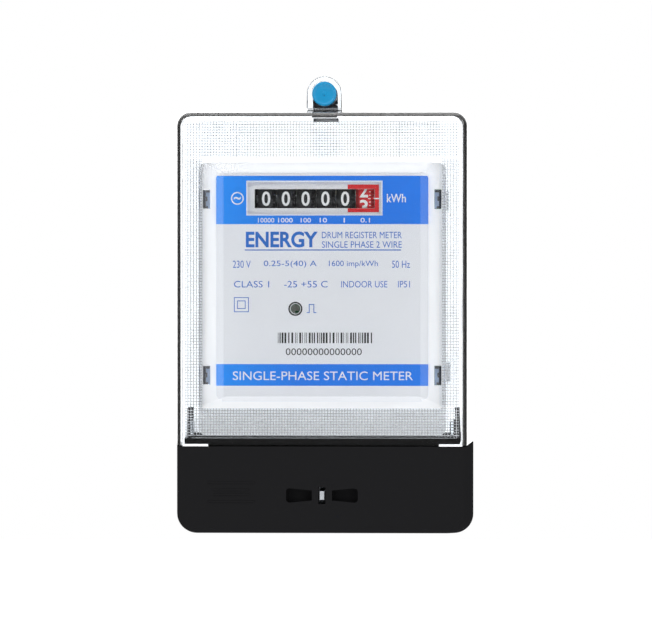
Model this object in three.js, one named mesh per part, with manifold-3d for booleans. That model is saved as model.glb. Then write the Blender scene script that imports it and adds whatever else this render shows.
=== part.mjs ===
// Single-phase wall meter with a six-drum register, millimetres.
// X runs to the right, Y from the front to the wall, Z up. The origin is the centre of the rear face.
import * as THREE from 'three';
import { mergeVertices } from 'three/addons/utils/BufferGeometryUtils.js';
import Module from 'manifold-3d';

const wasm = await Module();
wasm.setup();

// Case
const caseWidth = 112;
const caseHeight = 160;
const frontFace = 56;
const windowRaise = 2;
const baseDepth = 14;
const wall = 2;
const topRadius = 5;
const bottomRadius = 7.3;
const draft = 2.8;
const edgeRound = 2;
const seam = 0.3;
const fit = 0.3;
const running = 0.1;

// Front cover and its window
const coverBottom = -45;
const coverSplit = 0.4;
const windowWidth = 87.4;
const windowHeight = 91.4;
const windowCentre = 14.7;
const bevelSide = 7.9;
const bevelTop = 5.2;
const bevelBottom = 3.4;

// Lug, cover screw, seal and hanger
const lugRadius = 6.6;
const lugHeight = 5.4;
const coverLugDepth = 10;
const sealRadius = 4.65;
const sealThickness = 1.8;
const screwHeadRadius = 3.4;
const screwHeadHeight = 2.3;
const screwShankRadius = 1.6;
const screwLength = 12;
const hangerWidth = 9.4;
const hangerLength = 13.4;
const hangerThickness = 1;
const hangerHole = 2.2;
const hangerLip = 0.8;

// Carrier, nameplate and board
const plateWidth = 77.7;
const plateHeight = 84;
const plateCentre = 13.4;
const plateThickness = 0.8;
const plateGap = 2.2;
const carrierWidth = 91.2;
const carrierLow = -41.6;
const carrierRoom = 1.6;
const carrierThickness = 1.8;
const skirtDepth = 9;
const skirtWall = 1.6;
const clipHeights = [45.5, -19.4];
const clipSlotWidth = 2.6;
const clipSlotHeight = 7.2;
const boardWidth = 86.8;
const boardTop = 51.5;
const boardBottom = -31;
const boardFace = 14;
const boardThickness = 1.6;
const postRadius = 3;
const postInsetX = 8;
const postInsetZ = 4;
const lampX = -9.85;
const lampZ = 5.15;
const lampRadius = 1.5;
const lampHole = 2.2;

// Register
const drumRadius = 10;
const rimWidth = 4.4;
const drumPitch = 7.28;
const firstDrumX = -20.7;
const registerZ = 45.7;
const drumClearance = 0.3;
const drumSideGap = 0.5;
const drumShaftRadius = 1.5;
const pinionShaftRadius = 1;
const gearWidth = 1.2;
const gearStep = 0.28;
const toothTop = 0.8;
const toothRoot = 1.2;
const drumTeeth = 20;
const pinionTeeth = 8;
const carryGap = 0.38;
const wheelModule = 0.5;
const wheelTeeth = 24;
const wheelWidth = 1.6;
const motorTeeth = 8;
const motorShaftRadius = 0.75;
const readoutHeight = 7;
const maskMargin = 2.75;
const maskHeight = 12.4;
const maskBorder = 0.8;
const maskThickness = 0.5;
const framePlate = 1.4;
const frameHeight = 20;
const framePocket = 7.3;

// Terminal block, barrels and clamp screws
const blockEdge = 10;
const blockFloorGap = 2.6;
const fixingHole = 2.4;
const fixingPad = 4.4;
const blockFace = 36;
const flangeTop = -42.4;
const flangeBottom = -44.6;
const flangeGap = 0.6;
const earTop = -32;
const earThickness = 1.8;
const terminalPitch = 22;
const terminalCount = 4;
const barrelY = 22;
const barrelRadius = 4.8;
const barrelBore = 3.3;
const barrelTop = -52;
const barrelEnd = 0.6;
const clampInset = 5.9;
const clampRadius = 1.8;
const clampHeadRadius = 2.7;
const clampHeadHeight = 2.5;
const clampTravel = 5;

// Terminal cover and its sealing recess
const sealDrop = 0.9;
const slotWidth = 2.6;
const slotHeight = 6.3;
const wedgeStart = 3.7;
const wedgeEnd = 13.2;
const wedgeTall = 5.6;
const wedgeLow = 3.7;
const wedgeDepth = 3.6;
const padWidth = 31;
const padHeight = 10;
const padThickness = 5.5;
const wireWay = 1;
const tongueThickness = 1.6;
const tongueHeight = 3.2;
const tongueRecess = 0.4;
const notchWidth = 9.4;

// Derived places
const halfWidth = caseWidth / 2;
const caseTop = caseHeight / 2;
const caseBottom = -caseHeight / 2;
const coverBack = baseDepth + seam;
const lugZ = caseTop + lugHeight;
const plateFace = frontFace - wall - plateGap;
const carrierFace = plateFace - plateThickness - fit;
const carrierBack = carrierFace - carrierThickness;
const maskBack = plateFace - plateThickness - fit - maskThickness;
const drumAxisY = maskBack - drumClearance - drumRadius;
const drumModule = (drumRadius - gearStep) / (drumTeeth / 2 + toothTop);
const toothRatio = (drumTeeth + pinionTeeth) / 2;
const pinionAxisY = drumAxisY - toothRatio * drumModule;
const motorZ = registerZ - (wheelTeeth + motorTeeth) / 2 * wheelModule;
const drumNames = ['drum_10000', 'drum_1000', 'drum_100', 'drum_10', 'drum_1', 'drum_tenths'];
const lastDrumX = firstDrumX + drumPitch * (drumNames.length - 1);
const halfRim = rimWidth / 2;
const pinionWidth = drumPitch - rimWidth - 2 * fit;
const wheelLeft = lastDrumX + halfRim + fit + pinionWidth;
const readoutLeft = firstDrumX - halfRim - 2;
const readoutRight = lastDrumX + halfRim + 1.4;
const maskLeft = readoutLeft - maskMargin;
const maskWidth = readoutRight - readoutLeft + 2 * maskMargin;
const frameLeft = firstDrumX - halfRim - gearWidth - drumSideGap - framePlate;
const frameRight = wheelLeft + wheelWidth + drumSideGap + framePlate;

const blockWidth = (terminalCount - 1) * terminalPitch + 2 * blockEdge;
const blockBottom = caseBottom + wall + blockFloorGap;
const fixingX = (blockWidth / 2 + halfWidth - wall) / 2;
const fixingZ = blockBottom + 7;
const flangeFront = frontFace - wall - flangeGap;
const flangeWidth = caseWidth - 2 * (wall + draft + flangeGap);
const barrelLength = barrelTop - blockBottom - barrelEnd;
const clampHeights = [barrelTop - clampInset, barrelTop - barrelLength + clampInset];
const sealZ = (caseBottom + coverBottom) / 2 - sealDrop;
const tongueTip = frontFace - tongueRecess;

// Shapes -----------------------------------------------------------------

function solid(geometry) {
  const bare = new THREE.BufferGeometry();
  bare.setAttribute('position', geometry.getAttribute('position'));
  bare.setIndex(geometry.getIndex());
  const merged = mergeVertices(bare, 1e-4);
  return new wasm.Manifold(new wasm.Mesh({
    numProp: 3,
    vertProperties: new Float32Array(merged.getAttribute('position').array),
    triVerts: new Uint32Array(merged.getIndex().array),
  }));
}

// A box given by its limits; depths count from the wall towards the front.
function block(x0, x1, depth0, depth1, z0, z1) {
  const geometry = new THREE.BoxGeometry(x1 - x0, depth1 - depth0, z1 - z0);
  geometry.translate((x0 + x1) / 2, -(depth0 + depth1) / 2, (z0 + z1) / 2);
  return solid(geometry);
}

// Round bars along each axis.
function barX(radius, x0, x1, depth, z, sides = 16) {
  const geometry = new THREE.CylinderGeometry(radius, radius, x1 - x0, sides);
  geometry.rotateZ(Math.PI / 2);
  geometry.translate((x0 + x1) / 2, -depth, z);
  return solid(geometry);
}

function barY(radius, x, depth0, depth1, z, sides = 16) {
  const geometry = new THREE.CylinderGeometry(radius, radius, depth1 - depth0, sides);
  geometry.translate(x, -(depth0 + depth1) / 2, z);
  return solid(geometry);
}

function barZ(radius, x, depth, z0, z1, sides = 16) {
  const geometry = new THREE.CylinderGeometry(radius, radius, z1 - z0, sides);
  geometry.rotateX(Math.PI / 2);
  geometry.translate(x, -depth, (z0 + z1) / 2);
  return solid(geometry);
}

// A rectangle in the X-Z plane with its own radius at each bottom and top corner.
function panel(x0, x1, z0, z1, lowRadius = 0, highRadius = 0) {
  const shape = new THREE.Shape();
  shape.moveTo(x0 + lowRadius, z0);
  shape.lineTo(x1 - lowRadius, z0);
  if (lowRadius > 0) shape.absarc(x1 - lowRadius, z0 + lowRadius, lowRadius, -Math.PI / 2, 0);
  shape.lineTo(x1, z1 - highRadius);
  if (highRadius > 0) shape.absarc(x1 - highRadius, z1 - highRadius, highRadius, 0, Math.PI / 2);
  shape.lineTo(x0 + highRadius, z1);
  if (highRadius > 0) shape.absarc(x0 + highRadius, z1 - highRadius, highRadius, Math.PI / 2, Math.PI);
  shape.lineTo(x0, z0 + lowRadius);
  if (lowRadius > 0) shape.absarc(x0 + lowRadius, z0 + lowRadius, lowRadius, Math.PI, 1.5 * Math.PI);
  return shape;
}

// Extrudes an X-Z outline from one depth to another.
function sheet(shape, depth0, depth1, curveSegments = 5) {
  const geometry = new THREE.ExtrudeGeometry(shape, {
    depth: depth1 - depth0, bevelEnabled: false, curveSegments,
  });
  geometry.rotateX(Math.PI / 2);
  geometry.translate(0, -depth0, 0);
  return solid(geometry);
}

// Extrudes an X-Z outline through stations that pull its sides, top and bottom inwards.
function drafted(shape, middleZ, stations) {
  const steps = stations.length - 1;
  const geometry = new THREE.ExtrudeGeometry(shape, {
    depth: steps, steps, bevelEnabled: false, curveSegments: 5,
  });
  const position = geometry.getAttribute('position');
  for (let i = 0; i < position.count; i += 1) {
    const station = stations[Math.round(position.getZ(i))];
    const x = position.getX(i);
    const z = position.getY(i);
    const pull = z > middleZ ? -station.top : station.bottom;
    position.setXYZ(i, x - Math.sign(x) * station.side, -station.depth, z + pull);
  }
  return solid(geometry);
}

// Extrudes a Y-Z outline (drawn as depth-less X, Y) along X.
function slice(shape, x0, x1, depth, z, curveSegments = 6) {
  const geometry = new THREE.ExtrudeGeometry(shape, {
    depth: x1 - x0, bevelEnabled: false, curveSegments,
  });
  geometry.rotateY(Math.PI / 2);
  geometry.translate(x0, -depth, z);
  return solid(geometry);
}

// A spur gear outline; the first tooth points along +Y, or half a pitch away from it.
function gearOutline(teeth, gearModule, shift) {
  const pitchRadius = teeth * gearModule / 2;
  const tip = pitchRadius + toothTop * gearModule;
  const root = pitchRadius - toothRoot * gearModule;
  const step = 2 * Math.PI / teeth;
  const corners = [[root, -0.31], [tip, -0.1], [tip, 0.1], [root, 0.31]];
  const shape = new THREE.Shape();
  for (let tooth = 0; tooth < teeth; tooth += 1) {
    for (const [radius, part] of corners) {
      const angle = Math.PI / 2 + (tooth + shift + part) * step;
      const point = [radius * Math.cos(angle), radius * Math.sin(angle)];
      if (tooth === 0 && part === corners[0][1]) shape.moveTo(...point);
      else shape.lineTo(...point);
    }
  }
  return shape;
}

const meter = new THREE.Group();

function add(name, body, material) {
  const mesh = body.getMesh();
  const geometry = new THREE.BufferGeometry();
  geometry.setAttribute('position', new THREE.BufferAttribute(new Float32Array(mesh.vertProperties), 3));
  geometry.setIndex(new THREE.BufferAttribute(new Uint32Array(mesh.triVerts), 1));
  geometry.computeVertexNormals();
  const part = new THREE.Mesh(geometry, material);
  part.name = name;
  meter.add(part);
}

function finish(color, roughness, metalness = 0, opacity = 1) {
  return new THREE.MeshStandardMaterial({
    color, roughness, metalness, opacity, transparent: opacity < 1,
  });
}

const clearPlastic = finish(0xf2f6f8, 0.08, 0, 0.35);
const blackPlastic = finish(0x26282a, 0.45);
const whitePlastic = finish(0xf1f2f2, 0.5);
const bluePlastic = finish(0x0f8fc6, 0.4);
const platePrint = finish(0xe6e8ee, 0.5);
const drumBlack = finish(0x141414, 0.5);
const drumRed = finish(0xd21f2b, 0.5);
const gearPlastic = finish(0xe9e4d4, 0.5);
const steel = finish(0xb9bcbe, 0.3, 1);
const darkSteel = finish(0x3a3c3e, 0.4, 1);
const brass = finish(0xc7a252, 0.35, 1);
const copper = finish(0xb87345, 0.35, 1);

// Base shell ---------------------------------------------------------------

function lugPlate(depth0, depth1) {
  const arch = new THREE.Shape();
  arch.moveTo(-lugRadius, caseTop - wall);
  arch.lineTo(lugRadius, caseTop - wall);
  arch.lineTo(lugRadius, lugZ);
  arch.absarc(0, lugZ, lugRadius, 0, Math.PI);
  return sheet(arch, depth0, depth1, 12);
}

const legX = carrierWidth / 2;
const catchHalf = clipSlotHeight / 2 + 1;

function baseShell() {
  const outer = panel(-halfWidth, halfWidth, caseBottom, caseTop, bottomRadius, topRadius);
  const inner = panel(-halfWidth + wall, halfWidth - wall, caseBottom + wall, caseTop - wall,
    bottomRadius - wall, topRadius - wall);
  let body = sheet(outer, 0, baseDepth).subtract(sheet(inner, wall, baseDepth + 1));
  body = body.add(lugPlate(0, baseDepth));
  const grooveBottom = lugZ - hangerLength + hangerWidth / 2 - 2;
  const grooveFloor = hangerLip + hangerThickness + 2 * fit;
  const bossHalf = hangerWidth / 2 + fit + wall;
  body = body.add(block(-bossHalf, bossHalf, wall - 0.5, grooveFloor + wall,
    grooveBottom - wall, caseTop - wall / 2));
  const grooveHalf = hangerWidth / 2 + fit;
  const topCut = lugZ + lugRadius + 1;
  body = body.subtract(block(-grooveHalf, grooveHalf, hangerLip, grooveFloor, grooveBottom, topCut));
  const lipHalf = grooveHalf - 1;
  body = body.subtract(block(-lipHalf, lipHalf, -1, hangerLip + 0.1, grooveBottom, topCut));
  body = body.subtract(barY(screwShankRadius + running, 0, grooveFloor + wall, baseDepth + 1, lugZ));
  for (const side of [-1, 1]) {
    body = body.add(barY(fixingPad, side * fixingX, wall - 0.5, wall + 1, fixingZ, 20));
    body = body.subtract(barY(fixingHole, side * fixingX, -1, wall + 2, fixingZ));
    for (const z of clipHeights) {
      const near = legX + 1.3;
      const far = near + wall;
      const x0 = side > 0 ? near : -far;
      body = body.add(block(x0, x0 + wall, wall - 0.5, 9.7, z - catchHalf, z + catchHalf));
      const lipNear = legX + fit;
      const lip0 = side > 0 ? lipNear : -near - 0.5;
      body = body.add(block(lip0, lip0 + near + 0.5 - lipNear, 8.3, 9.7, z - catchHalf, z + catchHalf));
    }
  }
  return body;
}

add('base_shell', baseShell(), clearPlastic);

// Front cover ----------------------------------------------------------------

function coverStations(back, front, top, bottom) {
  const straight = front - edgeRound;
  const at = (depth, side) => ({
    depth, side, top: top * side, bottom: bottom * side,
  });
  return [
    at(back, 0),
    at(straight, draft),
    at(front - edgeRound * 0.3, draft + edgeRound * 0.3),
    at(front, draft + edgeRound),
  ];
}

function innerStations(back, front, top, bottom) {
  const at = (depth, side) => ({
    depth, side, top: top * side, bottom: bottom * side,
  });
  return [at(back, 0), at(front, draft * (front - coverBack) / (frontFace - edgeRound - coverBack))];
}

const hookX = flangeWidth / 2 - earThickness - fit;
const hookThickness = 1.6;
const earWindow = [28.5, 34.5];

function frontCover() {
  const outline = panel(-halfWidth, halfWidth, coverBottom, caseTop, 0, topRadius);
  const middle = (coverBottom + caseTop) / 2;
  let body = drafted(outline, middle, coverStations(coverBack, frontFace, 1, 0));
  const paneMiddle = windowCentre;
  const pane = (inset) => panel(-windowWidth / 2 + inset, windowWidth / 2 - inset,
    windowCentre - windowHeight / 2 + inset, windowCentre + windowHeight / 2 - inset, 1.2, 1.2);
  const bevel = (depth, raise) => [
    { depth, side: 0, top: 0, bottom: 0 },
    { depth: depth + raise, side: bevelSide, top: bevelTop, bottom: bevelBottom },
  ];
  body = body.add(drafted(pane(0), paneMiddle, [
    { depth: frontFace - wall / 2, side: 0, top: 0, bottom: 0 },
    ...bevel(frontFace, windowRaise),
  ]));
  body = body.add(lugPlate(coverBack, coverBack + coverLugDepth));
  const hollow = panel(-halfWidth + wall, halfWidth - wall, coverBottom - 9, caseTop - wall,
    0, topRadius - wall);
  body = body.subtract(drafted(hollow, middle, innerStations(coverBack - 1, frontFace - wall, 1, 0)));
  body = body.subtract(drafted(pane(wall), paneMiddle, [
    { depth: frontFace - 2 * wall, side: 0, top: 0, bottom: 0 },
    ...bevel(frontFace - wall, windowRaise),
  ]));
  const lugFront = coverBack + coverLugDepth;
  const capSeat = lugFront - sealThickness - 0.5;
  const headSeat = capSeat - screwHeadHeight - 2 * fit;
  body = body.subtract(barY(screwShankRadius + 0.4, 0, coverBack - 1, lugFront + 1, lugZ));
  body = body.subtract(barY(screwHeadRadius + fit, 0, headSeat, lugFront + 1, lugZ, 24));
  body = body.subtract(barY(sealRadius + fit, 0, capSeat, lugFront + 1, lugZ, 24));
  for (const side of [-1, 1]) {
    const x0 = side > 0 ? hookX - hookThickness : -hookX;
    const z0 = flangeTop + 1.4;
    body = body.add(block(x0, x0 + hookThickness, earWindow[0] + 1, frontFace - wall / 2, z0, z0 + 5));
    const barb = side > 0 ? hookX - 0.5 : -hookX - 1.2;
    body = body.add(block(barb, barb + 1.7, earWindow[0] + 1, earWindow[1] - 1, z0, z0 + 5));
  }
  return body;
}

add('front_cover', frontCover(), clearPlastic);

// Cover screw and seal cap ------------------------------------------------------

const lugFront = coverBack + coverLugDepth;
const capBack = lugFront - sealThickness - 0.2;
const headFront = capBack - fit - 0.3;
const headBack = headFront - screwHeadHeight;
add('cover_screw', barY(screwHeadRadius, 0, headBack, headFront, lugZ, 20)
  .add(barY(screwShankRadius, 0, headBack - screwLength, headBack + 0.5, lugZ, 12))
  .subtract(block(-screwHeadRadius, screwHeadRadius, headFront - 1, headFront + 1, lugZ - 0.5, lugZ + 0.5)),
steel);
add('seal_cap', barY(sealRadius, 0, capBack, lugFront - 0.2, lugZ, 32), bluePlastic);

// Hanger plate ---------------------------------------------------------------------

function hanger() {
  const shape = new THREE.Shape();
  const half = hangerWidth / 2;
  const bottom = lugZ - hangerLength + half;
  shape.moveTo(-half, bottom);
  shape.lineTo(half, bottom);
  shape.lineTo(half, lugZ);
  shape.absarc(0, lugZ, half, 0, Math.PI);
  const eye = new THREE.Path();
  eye.absarc(0, lugZ, hangerHole, 0, 2 * Math.PI);
  shape.holes.push(eye);
  const back = hangerLip + fit;
  return sheet(shape, back, back + hangerThickness, 10);
}

add('hanger', hanger(), darkSteel);

// Carrier -------------------------------------------------------------------------------

const carrierTop = registerZ + drumRadius + skirtWall + carrierRoom;
const postX = boardWidth / 2 - postInsetX;
const postZ = [boardTop - postInsetZ, boardBottom + postInsetZ];
const postEnd = boardFace + fit;
const screwHole = 1.3;
function carrier() {
  const outer = panel(-legX, legX, carrierLow, carrierTop, 3, 3);
  const inner = panel(-legX + skirtWall, legX - skirtWall, carrierLow + skirtWall, carrierTop - skirtWall, 1.4, 1.4);
  let body = sheet(outer, carrierBack - skirtDepth, carrierFace);
  body = body.subtract(sheet(inner, carrierBack - skirtDepth - 1, carrierBack));
  for (const x of [-postX, postX]) {
    for (const z of postZ) {
      body = body.add(barY(postRadius, x, postEnd, carrierBack + 0.5, z, 12));
      body = body.subtract(barY(screwHole, x, postEnd - 1, postEnd + 9, z, 10));
    }
  }
  for (const side of [-1, 1]) {
    for (const z of clipHeights) {
      const half = clipSlotHeight / 2;
      const x0 = side > 0 ? legX - skirtWall : -legX;
      body = body.add(block(x0, x0 + skirtWall, wall + 1, carrierBack - skirtDepth + 1, z - half, z + half));
      const barb = side > 0 ? legX - 0.5 : -legX - 1;
      body = body.add(block(barb, barb + 1.5, wall + 3, 8, z - half, z + half));
      const slotMid = side * (legX - skirtWall - fit - clipSlotWidth / 2);
      body = body.subtract(block(slotMid - clipSlotWidth / 2, slotMid + clipSlotWidth / 2,
        carrierBack - 1, carrierFace + 1, z - half, z + half));
    }
  }
  const maskLow = registerZ - maskHeight / 2 - maskBorder - fit;
  const maskHigh = registerZ + maskHeight / 2 + maskBorder + fit;
  body = body.subtract(block(maskLeft - maskBorder - fit, maskLeft + maskWidth + maskBorder + fit,
    carrierBack - 1, carrierFace + 1, maskLow, maskHigh));
  body = body.subtract(barY(lampRadius + fit, lampX, carrierBack - 1, carrierFace + 1, lampZ, 12));
  return body;
}

add('carrier', carrier(), whitePlastic);

// Nameplate ------------------------------------------------------------------------------------

function opening(left, right, middle, height) {
  const hole = new THREE.Path();
  hole.moveTo(left, middle - height / 2);
  hole.lineTo(right, middle - height / 2);
  hole.lineTo(right, middle + height / 2);
  hole.lineTo(left, middle + height / 2);
  hole.closePath();
  return hole;
}

function nameplate() {
  const shape = panel(-plateWidth / 2, plateWidth / 2, plateCentre - plateHeight / 2,
    plateCentre + plateHeight / 2, 2.5, 2.5);
  const readout = opening(maskLeft, maskLeft + maskWidth, registerZ, maskHeight);
  const lamp = new THREE.Path();
  lamp.absarc(lampX, lampZ, lampHole, 0, 2 * Math.PI);
  shape.holes.push(readout, lamp);
  return sheet(shape, plateFace - plateThickness, plateFace, 8);
}

add('nameplate', nameplate(), platePrint);

// Register mask, seen through the plate's opening -----------------------------------------------

function registerMask() {
  const shape = panel(maskLeft - maskBorder, maskLeft + maskWidth + maskBorder,
    registerZ - maskHeight / 2 - maskBorder, registerZ + maskHeight / 2 + maskBorder);
  shape.holes.push(opening(readoutLeft, readoutRight, registerZ, readoutHeight));
  return sheet(shape, maskBack, maskBack + maskThickness);
}

add('register_mask', registerMask(), whitePlastic);

// Register frame and shafts ------------------------------------------------------------------------

const frameFront = carrierBack - fit;
const frameBack = pinionAxisY - framePocket;
const barDepth = 1.5;
const barHeight = 3.1;

function registerFrame() {
  const low = registerZ - frameHeight / 2;
  const high = registerZ + frameHeight / 2;
  let body = block(frameLeft, frameLeft + framePlate, frameBack, frameFront, low, high);
  body = body.add(block(frameRight - framePlate, frameRight, frameBack, frameFront, low, high));
  body = body.add(block(frameLeft, frameRight, frameBack, frameBack + barDepth, low, low + barHeight));
  body = body.add(block(frameLeft, frameRight, frameBack, frameBack + barDepth, high - barHeight, high));
  body = body.subtract(barX(drumShaftRadius + running, frameLeft - 1, frameRight + 1, drumAxisY, registerZ));
  body = body.subtract(barX(pinionShaftRadius + running, frameLeft - 1, frameRight + 1, pinionAxisY, registerZ));
  body = body.subtract(barX(motorShaftRadius + 0.2, frameRight - 2, frameRight + 1, pinionAxisY, motorZ, 12));
  return body;
}

add('register_frame', registerFrame(), blackPlastic);
const shaftEnds = 0.6;
add('drum_shaft', barX(drumShaftRadius, frameLeft - shaftEnds, frameRight + shaftEnds, drumAxisY, registerZ), steel);
add('pinion_shaft', barX(pinionShaftRadius, frameLeft - shaftEnds, frameRight + shaftEnds, pinionAxisY, registerZ),
  steel);

// Drums: rim, driven gear on the right, carry disc with two short teeth on the left ---------------------

const carryTip = drumAxisY - pinionAxisY - (pinionTeeth / 2 + toothTop) * drumModule - carryGap;

function drum(x) {
  let body = barX(drumRadius, x - halfRim, x + halfRim, drumAxisY, registerZ, 32);
  const gear = gearOutline(drumTeeth, drumModule, 0);
  body = body.add(slice(gear, x + halfRim - 0.3, x + halfRim + gearWidth, drumAxisY, registerZ));
  body = body.add(barX(carryTip - 1.2, x - halfRim - gearWidth, x - halfRim + 0.3, drumAxisY, registerZ, 24));
  const half = 1.1;
  const stub = block(x - halfRim - gearWidth, x - halfRim + 0.3, drumAxisY - half, drumAxisY + half,
    registerZ - carryTip, registerZ);
  const notch = block(x - halfRim - gearWidth - 1, x - halfRim, drumAxisY - half / 2.5, drumAxisY + half / 2.5,
    registerZ - carryTip - 1, registerZ - carryTip + 1.2);
  body = body.add(stub.subtract(notch));
  const bore = barX(drumShaftRadius + running, x - halfRim - gearWidth - 1, x + halfRim + gearWidth + 1,
    drumAxisY, registerZ);
  return body.subtract(bore);
}

drumNames.forEach((name, index) => {
  add(name, drum(firstDrumX + index * drumPitch), name === 'drum_tenths' ? drumRed : drumBlack);
});

// Transfer pinions, reduction gear and motor -------------------------------------------------------------

function pinionAt(left, right) {
  return slice(gearOutline(pinionTeeth, drumModule, 0.5), left, right, pinionAxisY, registerZ);
}

for (let index = 0; index < drumNames.length - 1; index += 1) {
  const left = firstDrumX + index * drumPitch + halfRim + fit;
  const bore = barX(pinionShaftRadius + running, left - 1, left + pinionWidth + 1, pinionAxisY, registerZ, 12);
  add(`transfer_pinion_${index + 1}`, pinionAt(left, left + pinionWidth).subtract(bore), gearPlastic);
}

function reductionGear() {
  const left = lastDrumX + halfRim + fit;
  const wheel = slice(gearOutline(wheelTeeth, wheelModule, 0), wheelLeft - 0.3, wheelLeft + wheelWidth,
    pinionAxisY, registerZ);
  const bore = barX(pinionShaftRadius + running, left - 1, wheelLeft + wheelWidth + 1, pinionAxisY, registerZ, 12);
  return pinionAt(left, wheelLeft).add(wheel).subtract(bore);
}

add('reduction_gear', reductionGear(), gearPlastic);

const motorLeft = frameRight + 0.4;
const motorWidth = 9.5;
const motorDepth = 20;
const motorLow = motorZ - 12.6;
const motorHigh = motorZ + 6;
const motorWall = 1.4;
const motorBack = pinionAxisY - 10;
const rotorRadius = 3.8;
const coilRadius = 3;

function motorCase() {
  const right = motorLeft + motorWidth;
  let body = block(motorLeft, right, motorBack, motorBack + motorDepth, motorLow, motorHigh);
  body = body.subtract(block(motorLeft + motorWall, right + 1, motorBack + motorWall,
    motorBack + motorDepth - motorWall, motorLow + motorWall, motorHigh - motorWall));
  return body.subtract(barX(motorShaftRadius + 0.2, motorLeft - 1, motorLeft + 3, pinionAxisY, motorZ, 12));
}

function motorRotor() {
  const magnetLeft = motorLeft + motorWall + 0.6;
  const pinion = slice(gearOutline(motorTeeth, wheelModule, 0.5), wheelLeft + 0.1, wheelLeft + wheelWidth,
    pinionAxisY, motorZ);
  return pinion
    .add(barX(motorShaftRadius, wheelLeft, motorLeft + motorWidth - 0.4, pinionAxisY, motorZ, 12))
    .add(barX(rotorRadius, magnetLeft, magnetLeft + 6, pinionAxisY, motorZ, 20));
}

add('motor_case', motorCase(), blackPlastic);
add('motor_rotor', motorRotor(), gearPlastic);
const coilX = motorLeft + motorWall + coilRadius + 0.9;
add('motor_coil', barY(coilRadius, coilX, motorBack + motorWall + 0.6, motorBack + motorDepth - motorWall - 0.6,
  motorZ - rotorRadius - coilRadius - 1, 16), copper);

// Circuit board and its parts ----------------------------------------------------------------------------

function circuitBoard() {
  let body = block(-boardWidth / 2, boardWidth / 2, boardFace - boardThickness, boardFace, boardBottom, boardTop);
  for (const x of [-postX, postX]) {
    for (const z of postZ) body = body.subtract(barY(screwHole + 0.1, x, 0, boardFace + 1, z, 10));
  }
  return body;
}

add('circuit_board', circuitBoard(), finish(0x1f6b3a, 0.5));
let screwNumber = 0;
for (const x of [-postX, postX]) {
  for (const z of postZ) {
    screwNumber += 1;
    const seat = boardFace - boardThickness - fit;
    add(`board_screw_${screwNumber}`, barY(2.2, x, seat - 1.6, seat, z, 12)
      .add(barY(1, x, seat - 0.5, boardFace + 6, z, 8)), steel);
  }
}

const onBoard = boardFace + fit;
add('film_capacitor', block(-31, -13, onBoard, onBoard + 15, -8, 1), finish(0xc9b23a, 0.4));
add('electrolytic_capacitor', barY(5, 20, onBoard, onBoard + 16, -2, 20), finish(0x1d2a4a, 0.4));
add('varistor', barX(6, 2, 6.4, onBoard + 7, -18, 20), finish(0x2a62a8, 0.4));
add('metering_chip', block(-8, 4, onBoard, onBoard + 1.8, 14, 22), finish(0x1a1a1a, 0.6));
add('lead_connector', block(-4, 14, onBoard, onBoard + 7, -30, -25.5), whitePlastic);
const lampBody = onBoard + 2.4;
add('pulse_lamp', block(lampX - 1.6, lampX + 1.6, onBoard, lampBody, lampZ - 1, lampZ + 1), finish(0xd8d8d0, 0.4));
add('light_pipe', barY(lampRadius, lampX, lampBody + fit, plateFace + 0.2, lampZ, 16), clearPlastic);

// Terminal block ---------------------------------------------------------------------------------------------

const terminalX = [];
for (let index = 0; index < terminalCount; index += 1) {
  terminalX.push((index - (terminalCount - 1) / 2) * terminalPitch);
}
const headRoom = blockFace - clampTravel - clampHeadHeight + 0.3;
const strapWidth = 4;
const strapThickness = 1.2;
const strapZ = -36;

function terminalBlock() {
  let body = block(-blockWidth / 2, blockWidth / 2, wall + fit, blockFace, blockBottom, flangeBottom + 0.5);
  body = body.add(block(-flangeWidth / 2, flangeWidth / 2, wall + fit, flangeFront, flangeBottom, flangeTop));
  for (const side of [-1, 1]) {
    const x0 = side > 0 ? flangeWidth / 2 - earThickness : -flangeWidth / 2;
    body = body.add(block(x0, x0 + earThickness, 24, 38, flangeTop - 1, earTop));
    body = body.subtract(block(x0 - 1, x0 + earThickness + 1, earWindow[0], earWindow[1],
      flangeTop + 0.9, flangeTop + 7.4));
  }
  for (const x of terminalX) {
    body = body.subtract(barZ(barrelRadius + fit, x, barrelY, blockBottom - 1, barrelTop + 0.5, 20));
    for (const z of clampHeights) {
      body = body.subtract(barY(clampRadius + fit, x, barrelY, blockFace + 1, z, 12));
      body = body.subtract(barY(clampHeadRadius + fit, x, headRoom, blockFace + 1, z, 16));
    }
    const half = strapWidth / 2 + fit;
    body = body.subtract(block(x - half, x + half, barrelY - strapThickness / 2 - fit,
      barrelY + strapThickness / 2 + fit, barrelTop, flangeTop + 1));
  }
  return body;
}

add('terminal_block', terminalBlock(), blackPlastic);

terminalX.forEach((x, index) => {
  let barrel = barZ(barrelRadius, x, barrelY, barrelTop - barrelLength, barrelTop, 20);
  barrel = barrel.subtract(barZ(barrelBore, x, barrelY, barrelTop - barrelLength - 1, barrelTop + 1, 20));
  for (const z of clampHeights) {
    barrel = barrel.subtract(barY(clampRadius + running, x, barrelY, barrelY + barrelRadius + 1, z, 12));
  }
  add(`terminal_barrel_${index + 1}`, barrel, brass);
});

let clampNumber = 0;
for (const x of terminalX) {
  for (const z of clampHeights) {
    clampNumber += 1;
    const tip = barrelY + barrelBore + 0.1;
    const headBottom = blockFace - clampHeadHeight + 0.3;
    const headTop = blockFace + 0.3;
    add(`clamp_screw_${clampNumber}`, barY(clampRadius, x, tip, headBottom + 0.3, z, 12)
      .add(barY(clampHeadRadius, x, headBottom, headTop, z, 16))
      .subtract(block(x - clampHeadRadius - 1, x + clampHeadRadius + 1, headTop - 1, headTop + 1, z - 0.4, z + 0.4)),
    steel);
  }
}

// Straps that carry the current out of the barrels: a shunt on the live pair, a link on the neutral pair -----

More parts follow.
